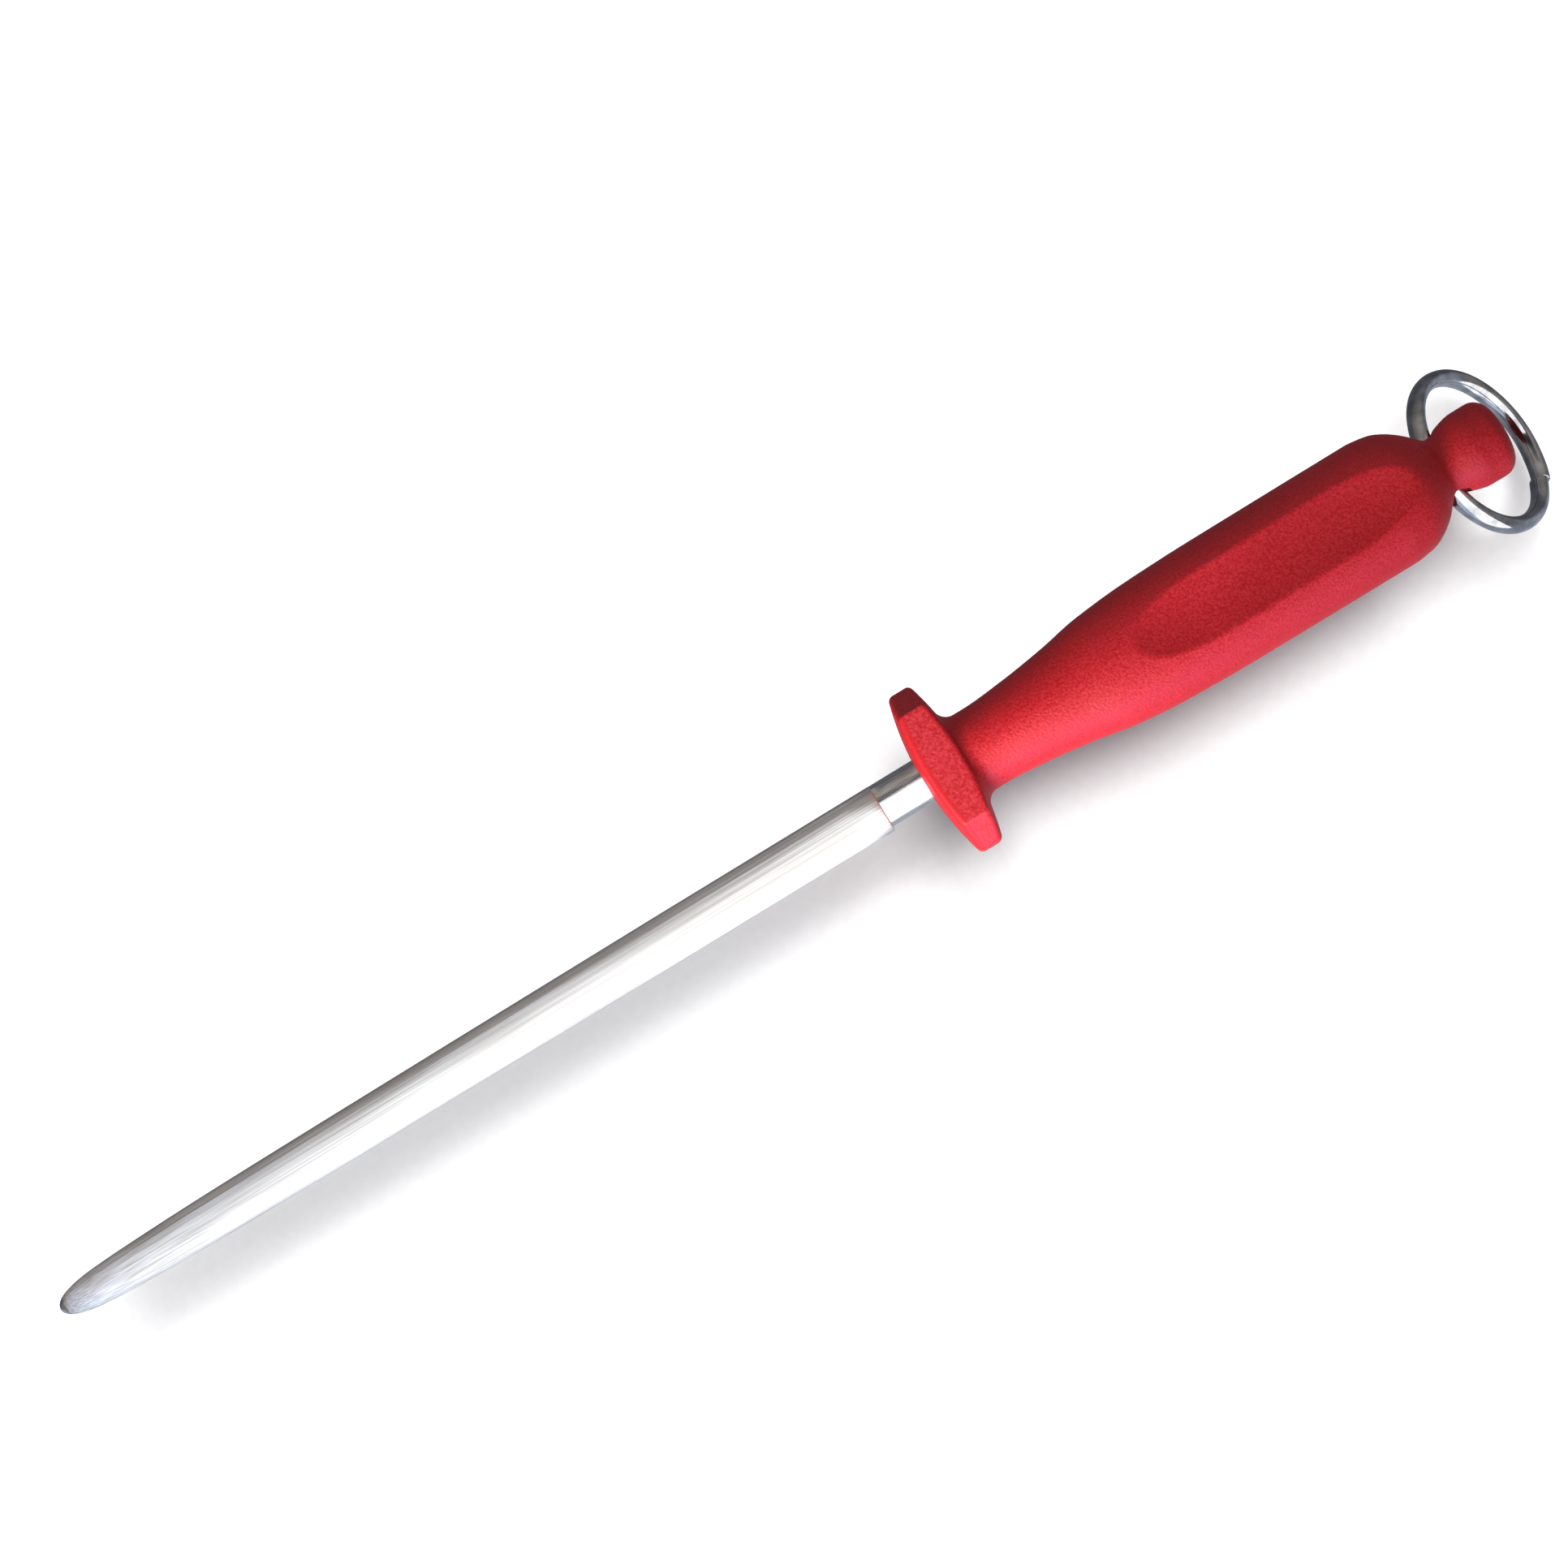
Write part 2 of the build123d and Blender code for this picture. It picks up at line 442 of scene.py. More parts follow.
# Carbon steel, cut with lengthwise ridges and then plated with hard chromium: silvery white, with a broad
# soft sheen that fine darker lines draw out along the rod. The lines are the scoring inside the cuts. They
# are drawn coarser than real ones, so that they show.
CUT_STEEL = Steel(
    "chromed_cut_steel",
    "#ECECEE",
    "#C2BDB9",
    roughness=(0.38, 0.46),
    mark_length=60.0,
    mark_pitch=0.35,
    mark_depth=0.010,
)
# The same steel, ground round on a wheel: greyer and clearer than the cut length, with one bright stripe
# and short scratches. The scratches are drawn coarser than real ones, so that they show.
GROUND_STEEL = Steel(
    "ground_steel",
    "#DCDDE0",
    "#A9A7A6",
    roughness=(0.20, 0.30),
    mark_length=6.0,
    mark_pitch=0.25,
    mark_depth=0.003,
)
# The same steel, buffed at the nose: a small, smooth glint with a trace of the buffing wheel.
POLISHED_TIP = Steel(
    "polished_steel_tip",
    "#C9CCCC",
    "#B4B7B6",
    roughness=(0.10, 0.14),
    mark_length=6.0,
    mark_pitch=0.6,
    mark_depth=0.001,
)
# Drawn steel wire, barrel polished and nickel plated: sharp dark and light reflections that waver a
# little, because tumbling rounds a bent wire unevenly.
POLISHED_WIRE = Steel(
    "polished_steel_wire",
    "#B2B4B8",
    "#8A8C90",
    roughness=(0.09, 0.15),
    mark_length=4.0,
    mark_pitch=4.0,
    mark_depth=0.004,
)
# Polypropylene, moulded against spark-eroded steel: a deep matt red, with a fine pale speckle where the
# light comes in low. The grain of all three plastics is drawn coarser than real grain, so that it shows.
RED_BODY = MouldedPlastic(
    "red_polypropylene_grained",
    "#BC0410",
    "#D8242F",
    roughness=(0.46, 0.60),
    grain_size=0.62,
    grain_height=0.14,
    speckle=0.9,
)
# The guard's rim, where the mould was eroded more: a rougher red with a plainer speckle.
RED_FACET = MouldedPlastic(
    "red_polypropylene_coarse",
    "#B60511",
    "#D02E38",
    roughness=(0.50, 0.64),
    grain_size=0.70,
    grain_height=0.14,
    speckle=0.9,
)
# The guard's front face, the socket and the gate mark, where the mould was only stoned: an even satin
# red.
RED_FACE = MouldedPlastic(
    "red_polypropylene_satin",
    "#C60A16",
    "#D41E2A",
    roughness=(0.46, 0.54),
    grain_size=0.5,
    grain_height=0.03,
    speckle=0.4,
)
# Uncoated background paper: even white with no sheen.
FLOOR_PAPER = Paper("white_paper", "#F6F6F6", "#F3F3F3")


# ---------------------------------------------------------------- sub-assemblies


class RodZone(Enum):
    """Where a face lies on the rod. The value is its material slot."""

    CUT = 0
    GROUND = 1
    POLISHED = 2


class HandleZone(Enum):
    """Which mould surface made a face of the handle. The value is its material slot."""

    GRAINED = 0
    COARSE = 1
    SATIN = 2


Band = tuple[np.ndarray, HandleZone]


@dataclass
class SharpeningRod:
    """Steel rod, cut with fine lengthwise ridges, with a polished nose and a smooth ground neck."""

    diameter: float = 13.0
    tip: float = -241.8
    # Distance behind the tip, and the share of the diameter there
    taper: tuple[tuple[float, float], ...] = (
        (0.0, 0.0),
        (2.7, 0.450),
        (10.4, 0.700),
        (26.0, 0.823),
        (52.0, 0.908),
        (110.0, 0.963),
        (180.0, 1.0),
    )
    shoulder_chamfer: float = 0.3
    ridge_count: int = 92
    ridge_depth: float = 0.10
    ridge_start: float = 2.3
    ridge_fade_in: float = 1.6
    ridge_fade_out: float = 1.2
    ridge_breadth: float = 0.7
    # Share of the depth that the shallowest groove keeps, and that a groove keeps where the rod is thinnest
    shallowest: float = 0.55
    nose_share: float = 0.15
    groove_seed: int = 11
    points_per_ridge: int = 7
    nose_rows: int = 14
    body_rows: int = 112
    neck_rows: int = 12
    crease: float = 50.0

    def ridges(self, angle: np.ndarray) -> np.ndarray:
        """How far each column lies below the rod's envelope, in shares of a full cut.

        Every ridge is a hump, the sine of half its turn, raised to a power that keeps its top broad. Each
        groove has its own depth, so the cut looks like a cut and not like a screen.

        Args:
            angle: the columns' angles.

        Returns:
            A share for each column.
        """
        turn = angle / (2 * pi) * self.ridge_count
        hump = np.abs(np.sin(pi * turn)) ** self.ridge_breadth
        depth = np.random.default_rng(self.groove_seed).uniform(self.shallowest, 1.0, self.ridge_count)
        groove = np.round(turn).astype(int) % self.ridge_count
        return (1 - hump) * depth[groove]

    def profile(self, angle: np.ndarray) -> tuple[np.ndarray, np.ndarray]:
        """Rows of the rod's outline from the tip to the neck's end.

        Behind the tip the radius is read from the taper by the root of the distance, which makes the nose
        round. The ridges fade in behind the polished nose and run out just before the shoulder.

        Args:
            angle: the columns' angles.

        Returns:
            The rows as (x, radius) for each column, and the zone of the band after each row.
        """
        full = self.diameter / 2
        distance, share = np.array(self.taper).T
        cut_end = -self.shoulder_chamfer
        nose = np.linspace(0, self.ridge_start**0.5, self.nose_rows)[1:]
        body = np.linspace(self.ridge_start**0.5, (cut_end - self.tip) ** 0.5, self.body_rows)[1:]
        behind = np.concatenate([nose, body]) ** 2
        envelope = full * fair_curve(behind**0.5, distance**0.5, share)
        x = self.tip + behind
        fade_in = ease((behind - self.ridge_start) / self.ridge_fade_in)
        fade_out = ease((cut_end - x) / self.ridge_fade_out)
        depth = self.ridge_depth * np.minimum(1, envelope / full + self.nose_share)
        radius = envelope[:, None] - (fade_in * fade_out * depth)[:, None] * self.ridges(angle)
        neck = offset_round(angle, NECK_DIAMETER / 2, NECK_OFFSET)
        shoulder = np.maximum(full - self.shoulder_chamfer, neck)
        neck_at = np.linspace(0.0, NECK_END, self.neck_rows)
        rows = [outline(x[:, None], radius), outline(0.0, shoulder)[None], outline(neck_at[:, None], neck)]
        zones = np.where(behind < self.ridge_start, RodZone.POLISHED.value, RodZone.CUT.value)
        ground = np.full(1 + self.neck_rows, RodZone.GROUND.value)
        return np.concatenate(rows), np.concatenate([zones, ground])

    def build(self) -> bpy.types.Object:
        """Builds and dresses the rod.

        Returns:
            The rod, standing for the CAD rod.
        """
        angle = whole_turn(self.ridge_count * self.points_per_ridge)
        profile, zones = self.profile(angle)
        poles = (self.tip, 0, 0), (NECK_END, NECK_OFFSET, 0)
        rod = closed_skin("sharpening_rod", turned(profile, angle), *poles)
        slots = face_slots(zones, len(angle), RodZone.POLISHED, RodZone.GROUND)
        dress(rod, [CUT_STEEL, GROUND_STEEL, POLISHED_TIP], slots)
        smooth(rod, self.crease)
        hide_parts("rod")
        return rod


@dataclass
class MouldedHandle:
    """One-piece handle: guard, grip with thumb scoops, shoulder and knob, bored for the ring."""

    front: float = 12.2
    socket_lip: float = 0.25
    guard_width: float = 45.0
    guard_height: float = 26.0
    guard_thickness: float = 12.8
    guard_flat_width: float = 31.0
    guard_end_height: float = 8.0
    guard_dome: float = 80.0
    guard_edge: float = 1.2
    guard_corner: float = 0.35
    guard_root: float = 3.0
    guard_least_flat: float = 0.15
    neck_diameter: float = 21.7
    grip_width: float = 34.8
    grip_thickness: float = 27.2
    swell_start: float = 18.0
    swell_length: float = 70.0
    # Share of the swell's length, and of the way from the neck's size to the grip's
    swell: tuple[tuple[float, float], ...] = (
        (0.0, 0.0),
        (0.17, 0.14),
        (0.35, 0.40),
        (0.52, 0.73),
        (0.74, 0.92),
        (1.0, 0.985),
    )
    shoulder_start: float = 146.5
    shoulder_length: float = 17.3
    # Share of the shoulder's length, and what is left of the grip's width and of its thickness
    shoulder: tuple[tuple[float, float, float], ...] = (
        (0.0, 1.0, 1.0),
        (0.17, 0.966, 0.985),
        (0.35, 0.905, 0.955),
        (0.53, 0.755, 0.86),
        (0.71, 0.52, 0.64),
        (0.88, 0.225, 0.30),
        (1.0, 0.0, 0.0),
    )
    scoop_floor: float = 10.8
    scoop_front: float = 94.0
    scoop_back: float = 132.0
    scoop_cross: float = 42.0
    scoop_front_bend: float = 85.0
    scoop_back_bend: float = 115.0
    scoop_edge: float = 0.35
    knob_diameter: float = 20.8
    knob_flare: float = 10.0
    knob_length: float = 18.9
    knob_corner: float = 4.0
    knob_dome: float = 0.9
    hole_radius: float = 3.24
    hole_flare: float = 1.2
    gate_radius: float = 1.7
    gate_depth: float = 0.25
    gate_wall: float = 0.2
    parting_height: float = 0.07
    parting_width: float = 0.9
    crease: float = 38.0
    columns: int = 248
    # How far from a corner the columns crowd, in degrees, and how many are added there to each one
    corner_reach: float = 2.2
    corner_pull: float = 3.0
    # Rows in each band of the profile, in order from the socket's bottom
    socket_rows: int = 6
    lip_rows: int = 4
    front_rows: int = 22
    edge_rows: int = 7
    rim_rows: int = 12
    back_rows: int = 12
    root_rows: int = 9
    grip_rows: int = 205
    shoulder_rows: int = 56
    knob_corner_rows: int = 10
    dome_rows: int = 6
    hole_columns: int = 64
    hole_flare_rows: int = 9

    def column_angles(self) -> np.ndarray:
        """Angles of the columns, drawn together at the guard's corners and at the parting line.

        The columns' density is one plus a bell at each of those angles. Its running sum, read backwards,
        spaces the columns, and a corner always has a column on it.

        Returns:
            The angles in radians, rising through one turn.
        """
        corner = np.arctan2(self.guard_height / 2, self.guard_flat_width / 2)
        end = np.arctan2(self.guard_end_height / 2, self.guard_width / 2)
        quarter = np.linspace(0, pi / 2, 4001)
        density = 1 + sum(
            self.corner_pull * np.exp(-(((quarter - middle) / radians(self.corner_reach)) ** 2))
            for middle in (0.0, end, corner)
        )
        filled = np.concatenate([[0], np.cumsum((density[1:] + density[:-1]) / 2)])
        filled *= self.columns / 4 / filled[-1]
        first = np.interp(np.arange(self.columns // 4), filled, quarter)
        for middle in (end, corner):
            first[np.argmin(np.abs(first - middle))] = middle
        mirrored = (pi - first)[::-1]
        half = np.concatenate([first, [pi / 2], mirrored[:-1]])
        return np.concatenate([half, half + pi])

    def octagon(self, angle: np.ndarray) -> np.ndarray:
        """Distance from the axis to the guard's rim.

        Each of the eight facets lies at a fixed distance along its own normal, so a ray meets it at that
        distance over the cosine between them, and the nearest facet counts, with its corners rounded.

        Args:
            angle: the columns' angles.

        Returns:
            A distance for each column.
        """
        half_flat, half_height = self.guard_flat_width / 2, self.guard_height / 2
        half_width, half_end = self.guard_width / 2, self.guard_end_height / 2
        slope = Vector((half_height - half_end, half_width - half_flat)).normalized()
        reach = slope[0] * half_width + slope[1] * half_end
        across, up = np.abs(np.cos(angle)), np.abs(np.sin(angle))
        chamfer = reach / (slope[0] * across + slope[1] * up)
        side = half_width / np.maximum(across, 1e-6)
        flat = half_height / np.maximum(up, 1e-6)
        return soft_low(soft_low(chamfer, side, self.guard_corner), flat, self.guard_corner)

    def oval(self, x: np.ndarray) -> tuple[np.ndarray, np.ndarray]:
        """Size of the grip's oval, by a fair curve through the swell's and the shoulder's points.

        Args:
            x: places along the grip.

        Returns:
            The half-width and the half-thickness at each place.
        """
        swell_at, swell = np.array(self.swell).T
        shoulder_at, wide, thick = np.array(self.shoulder).T
        places = np.concatenate(
            [
                [self.front + self.guard_thickness / 2],
                self.front + self.swell_start + swell_at * self.swell_length,
                self.shoulder_start + shoulder_at * self.shoulder_length,
            ]
        )
        sizes = []
        for full, left in ((self.grip_width, wide), (self.grip_thickness, thick)):
            swelling = self.neck_diameter + swell * (full - self.neck_diameter)
            closing = KNOB_NECK + left * (full - KNOB_NECK)
            size = np.concatenate([[self.neck_diameter], swelling, closing])
            sizes.append(fair_curve(x, places, size) / 2)
        return sizes[0], sizes[1]

    def scoop(self, x: np.ndarray, angle: np.ndarray) -> np.ndarray:
        """Distance from the axis to the thumb scoops' surface.

        The trough's floor is level in its middle and climbs on a large arc at each end. Across, it is a
        circle standing on that floor, so a ray meets it at its near side, by the cosine rule.

        Args:
            x: places along the grip.
            angle: the columns' angles.

        Returns:
            The distances, far outside the grip where a ray misses the scoops.
        """
        ahead = np.clip(self.scoop_front - x, 0, self.scoop_front_bend)
        behind = np.clip(x - self.scoop_back, 0, self.scoop_back_bend)
        climb_front = self.scoop_front_bend - np.sqrt(self.scoop_front_bend**2 - ahead**2)
        climb_back = self.scoop_back_bend - np.sqrt(self.scoop_back_bend**2 - behind**2)
        centre = self.scoop_floor + climb_front + climb_back + self.scoop_cross
        up = np.abs(np.sin(angle))
        inside = self.scoop_cross**2 - (centre * np.cos(angle)) ** 2
        return np.where(inside > 0, centre * up - np.sqrt(np.clip(inside, 0, None)), NOWHERE)

    def knob(self, x: np.ndarray) -> np.ndarray:
        """Radius of the knob and its neck: level, then an S-curve out to the knob, then its corner.

        Args:
            x: places along the handle.

        Returns:
            A radius for each place.
        """
        flare = ease((x - HOLE_AT) / self.knob_flare)
        straight = KNOB_NECK / 2 + flare * (self.knob_diameter - KNOB_NECK) / 2
        corner_at = HOLE_AT + self.knob_length - self.knob_dome - self.knob_corner
        past = np.clip(x - corner_at, 0, self.knob_corner)
        return straight - self.knob_corner + np.sqrt(self.knob_corner**2 - past**2)

    def body_radius(self, x: np.ndarray, angle: np.ndarray) -> np.ndarray:
        """Distance from the axis to the grip, the shoulder or the knob, whichever is outermost.

        The grip's oval is cut by the scoops with a softened edge, sunk by the parting line's height except
        along that line, and joined to the knob.

        Args:
            x: places along the handle.
            angle: the columns' angles.

        Returns:
            A distance for each column.
        """
        wide, thick = self.oval(x)
        across, up = np.cos(angle), np.sin(angle)
        oval = wide * thick / np.sqrt((thick * across) ** 2 + (wide * up) ** 2)
        body = soft_low(oval, self.scoop(x, angle), self.scoop_edge)
        body = np.where(x < self.shoulder_start + self.shoulder_length, body, 0)
        line = ease(1 - np.abs(up) * body / self.parting_width) * self.parting_height
        return np.maximum(body - self.parting_height + line, self.knob(x))

    def guard_face(self, radius: np.ndarray | float, back: bool) -> np.ndarray | float:
        """Place along the axis of the guard's domed front or back face at a distance from the axis."""
        sag = self.guard_dome - np.sqrt(self.guard_dome**2 - radius**2)
        return self.front + self.guard_thickness - sag if back else self.front + sag

    def front_bands(self, angle: np.ndarray) -> list[Band]:
        """Bands from the socket's bottom, out through its lip and over the guard's front face.

        Args:
            angle: the columns' angles.

        Returns:
            The bands, up to the edge between the front face and the rim.
        """
        bore = offset_round(angle, NECK_DIAMETER / 2 + SOCKET_CLEARANCE, NECK_OFFSET)
        rim = self.octagon(angle)
        flat_start, flat_end = bore + self.socket_lip, rim - self.guard_edge
        mouth, bottom = self.guard_face(bore, back=False), NECK_END + SOCKET_CLEARANCE
        climb = np.linspace(0, 1, self.socket_rows)[:-1, None]
        wall = bottom + (mouth + self.socket_lip - bottom) * climb
        lip = corner_arc(
            outline(mouth + self.socket_lip, bore),
            outline(mouth, bore),
            outline(self.guard_face(flat_start, back=False), flat_start),
            self.lip_rows,
        )
        flat = rows_between(flat_start, flat_end, self.front_rows)
        corner = self.guard_face(rim, back=False)
        edge = corner_arc(
            outline(self.guard_face(flat_end, back=False), flat_end),
            outline(corner, rim),
            outline(corner + self.guard_edge, rim),
            self.edge_rows,
        )
        face = outline(self.guard_face(flat, back=False), flat)
        return [(band, HandleZone.SATIN) for band in (outline(wall, bore), lip, face, edge)]

    def back_bands(self, angle: np.ndarray) -> list[Band]:
        """Bands along the guard's rim, round to its back face and in to the root of the neck.

        Args:
            angle: the columns' angles.

        Returns:
            The bands, up to the start of the grip.
        """
        rim = self.octagon(angle)
        neck = np.full_like(rim, self.neck_diameter / 2)
        flat_start = rim - self.guard_edge
        flat_end = np.minimum(neck + self.guard_root, flat_start - self.guard_least_flat)
        corner = self.guard_face(rim, back=True)
        rim_start = self.guard_face(rim, back=False) + self.guard_edge
        facet = rows_between(rim_start, corner - self.guard_edge, self.rim_rows)
        edge = corner_arc(
            outline(corner - self.guard_edge, rim),
            outline(corner, rim),
            outline(self.guard_face(flat_start, back=True), flat_start),
            self.edge_rows,
        )
        flat = rows_between(flat_start, flat_end, self.back_rows)
        heel = self.guard_face(neck, back=True)
        grip_start = heel + self.guard_root
        root = corner_arc(
            outline(self.guard_face(flat_end, back=True), flat_end),
            outline(heel, neck),
            outline(grip_start, self.body_radius(grip_start, angle)),
            self.root_rows,
        )
        face = outline(self.guard_face(flat, back=True), flat)
        return [(outline(facet, rim), HandleZone.COARSE)] + [
            (band, HandleZone.GRAINED) for band in (edge, face, root)
        ]

    def grip_bands(self, angle: np.ndarray) -> list[Band]:
        """The band along the grip and the shoulder to the far side of the knob's corner.

        Args:
            angle: the columns' angles.

        Returns:
            One band, whose rows lie closer together on the shoulder and the knob.
        """
        start = self.guard_face(self.neck_diameter / 2, back=True) + self.guard_root
        corner_end = HOLE_AT + self.knob_length - self.knob_dome
        corner_turn = np.linspace(0, pi / 2, self.knob_corner_rows)[1:]
        x = np.concatenate(
            [
                np.linspace(start, self.shoulder_start, self.grip_rows)[1:],
                np.linspace(self.shoulder_start, corner_end - self.knob_corner, self.shoulder_rows)[1:],
                corner_end - self.knob_corner * (1 - np.sin(corner_turn)),
            ]
        )
        radius = np.stack([self.body_radius(np.full_like(angle, place), angle) for place in x])
        return [(outline(x[:, None], radius), HandleZone.GRAINED)]

    def end_bands(self, angle: np.ndarray) -> list[Band]:
        """Bands over the knob's domed end, and down into the mark that the mould's gate left.

        Args:
            angle: the columns' angles.

        Returns:
            The dome, and the gate mark's floor.
        """
        end = HOLE_AT + self.knob_length
        dome_edge = self.knob_diameter / 2 - self.knob_corner
        dome = (dome_edge**2 + self.knob_dome**2) / (2 * self.knob_dome)
        out = np.linspace(dome_edge, self.gate_radius, self.dome_rows)[1:, None]
        face = outline(end - dome + (dome**2 - out**2) ** 0.5, np.broadcast_to(out, (len(out), len(angle))))
        mark = outline(end - self.gate_depth, np.full_like(angle, self.gate_radius - self.gate_wall))[None]
        return [(face, HandleZone.GRAINED), (mark, HandleZone.SATIN)]

    def profile(self, angle: np.ndarray) -> tuple[np.ndarray, np.ndarray]:
        """Rows from the socket's bottom, out over the guard and along the grip to the knob's end.

        Args:
            angle: the columns' angles.

        Returns:
            The rows as (x, radius) for each column, and the mould surface of the band after each row.
        """
        parts = (self.front_bands, self.back_bands, self.grip_bands, self.end_bands)
        bands = [band for part in parts for band in part(angle)]
        zones = [np.full(len(rows), zone.value) for rows, zone in bands]
        return np.concatenate([rows for rows, _ in bands]), np.concatenate(zones)

    def hole_cutter(self) -> bpy.types.Object:
        """Solid of revolution round Y through the knob's neck, flared at both mouths.

        Its outline is the hole's radius in the middle, a quarter round outwards at each mouth, and then
        the flare's full radius, which also relieves the root of the shoulder.

        Returns:
            The cutter, long enough to pass through the shoulder.
        """
        turn = np.linspace(0, pi / 2, self.hole_flare_rows)
        mouth = KNOB_NECK / 2
        up = mouth - self.hole_flare + self.hole_flare * np.sin(turn)
        out = self.hole_radius + self.hole_flare * (1 - np.cos(turn))
        up = np.concatenate([[0.0], up, [self.grip_width]])
        out = np.concatenate([[self.hole_radius], out, [out[-1]]])
        up = np.concatenate([-up[:0:-1], up])[:, None]
        out = np.concatenate([out[:0:-1], out])[:, None]
        angle = whole_turn(self.hole_columns)
        rings = np.stack(
            np.broadcast_arrays(HOLE_AT + out * np.sin(angle), up, out * np.cos(angle)), axis=-1
        )
        poles = (HOLE_AT, -self.grip_width, 0), (HOLE_AT, self.grip_width, 0)
        return closed_skin("hole_cutter", rings, *poles)

    def bore(self, handle: bpy.types.Object) -> None:
        """Cuts the ring's hole and keeps the result as the handle's mesh.

        Args:
            handle: the whole handle, with its materials.
        """
        cutter = self.hole_cutter()
        hole = handle.modifiers.new("ring_hole", "BOOLEAN")
        hole.operation = "DIFFERENCE"
        hole.solver = "EXACT"
        hole.object = cutter
        graph = bpy.context.evaluated_depsgraph_get()
        bored = bpy.data.meshes.new_from_object(handle.evaluated_get(graph))
        handle.modifiers.clear()
        handle.data = bored
        bpy.data.objects.remove(cutter)

    def build(self) -> bpy.types.Object:
        """Builds, dresses and bores the handle.

        Returns:
            The handle, standing for the CAD handle.
        """
        angle = self.column_angles()
        profile, zones = self.profile(angle)
        end = HOLE_AT + self.knob_length - self.gate_depth
        poles = (NECK_END + SOCKET_CLEARANCE, NECK_OFFSET, 0), (end, 0, 0)
        handle = closed_skin("moulded_handle", turned(profile, angle), *poles)
        slots = face_slots(zones, len(angle), HandleZone.SATIN, HandleZone.SATIN)
        dress(handle, [RED_BODY, RED_FACET, RED_FACE], slots)
        self.bore(handle)
        smooth(handle, self.crease)
        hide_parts("handle")
        return handle


@dataclass
class HangRing:
    """Oval polished wire bent to a circle, its ends butted together a little out of line."""

    outer_diameter: float = 47.9
    wire_radial: float = 4.2
    wire_axial: float = 5.4
    drop: float = 45.0
    joint_gap: float = 0.2
    joint_at: float = -39.0
    joint_step: float = 0.9
    joint_run: float = 9.0
    end_round: float = 0.35
    end_rows: int = 6
    bend_rows: int = 300
    wire_points: int = 48
    crease: float = 60.0

    def stations(self, radius: float) -> tuple[np.ndarray, np.ndarray, np.ndarray]:
        """Places along the wire, from one butted end to the other.

        Close to each end the oval shrinks along a quarter round, and the two ends step apart by a hair.

        Args:
            radius: the bent wire's own radius.

        Returns:
            Each place's angle from the first end, how far the oval shrinks, and how far it steps out.
        """
        quarter = np.linspace(0, pi / 2, self.end_rows)
        rounding = self.end_round * (1 - np.cos(quarter)) / radius
        shrink = self.end_round * (1 - np.sin(quarter))
        length = 2 * pi - self.joint_gap / radius
        body = np.linspace(rounding[-1], length - rounding[-1], self.bend_rows)[1:-1]
        along = np.concatenate([rounding, body, length - rounding[::-1]])
        inset = np.concatenate([shrink, np.zeros(len(body)), shrink[::-1]])
        from_first, from_last = along * radius, (length - along) * radius
        step = ease(1 - from_first / self.joint_run) - ease(1 - from_last / self.joint_run)
        return along, inset[:, None], self.joint_step / 2 * step[:, None]

    def build(self) -> bpy.types.Object:
        """Builds and dresses the ring.

        The wire's oval is carried round a circle that hangs `drop` degrees below the handle's axis. The
        circle's bow inside the handle's hole is shared evenly to both sides of the hole's centre.

        Returns:
            The ring, standing for the CAD ring.
        """
        radius = (self.outer_diameter - self.wire_radial) / 2
        bow = radius - (radius**2 - (KNOB_NECK / 2) ** 2) ** 0.5
        drop = radians(self.drop)
        out = np.array([cos(drop), 0, -sin(drop)])
        up = np.array([sin(drop), 0, cos(drop)])
        side = np.array([0.0, 1.0, 0.0])
        centre = np.array([HOLE_AT, 0, 0]) + out * (radius - bow / 2)
        along, inset, step = self.stations(radius)
        turn = (radians(self.joint_at) + self.joint_gap / 2 / radius + along)[:, None]
        section = whole_turn(self.wire_points)
        reach = radius + step + (self.wire_radial / 2 - inset) * np.cos(section)
        lift = -(self.wire_axial / 2 - inset) * np.sin(section)
        spoke = np.cos(turn) * out + np.sin(turn) * side
        rings = centre + reach[..., None] * spoke[:, None, :] + lift[..., None] * up
        poles = centre + (radius + step[[0, -1]]) * spoke[[0, -1]]
        ring = closed_skin("hang_wire_ring", rings, *map(tuple, poles))
        dress(ring, [POLISHED_WIRE])
        smooth(ring, self.crease)
        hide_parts("hang_ring")
        return ring


# ---------------------------------------------------------------- studio


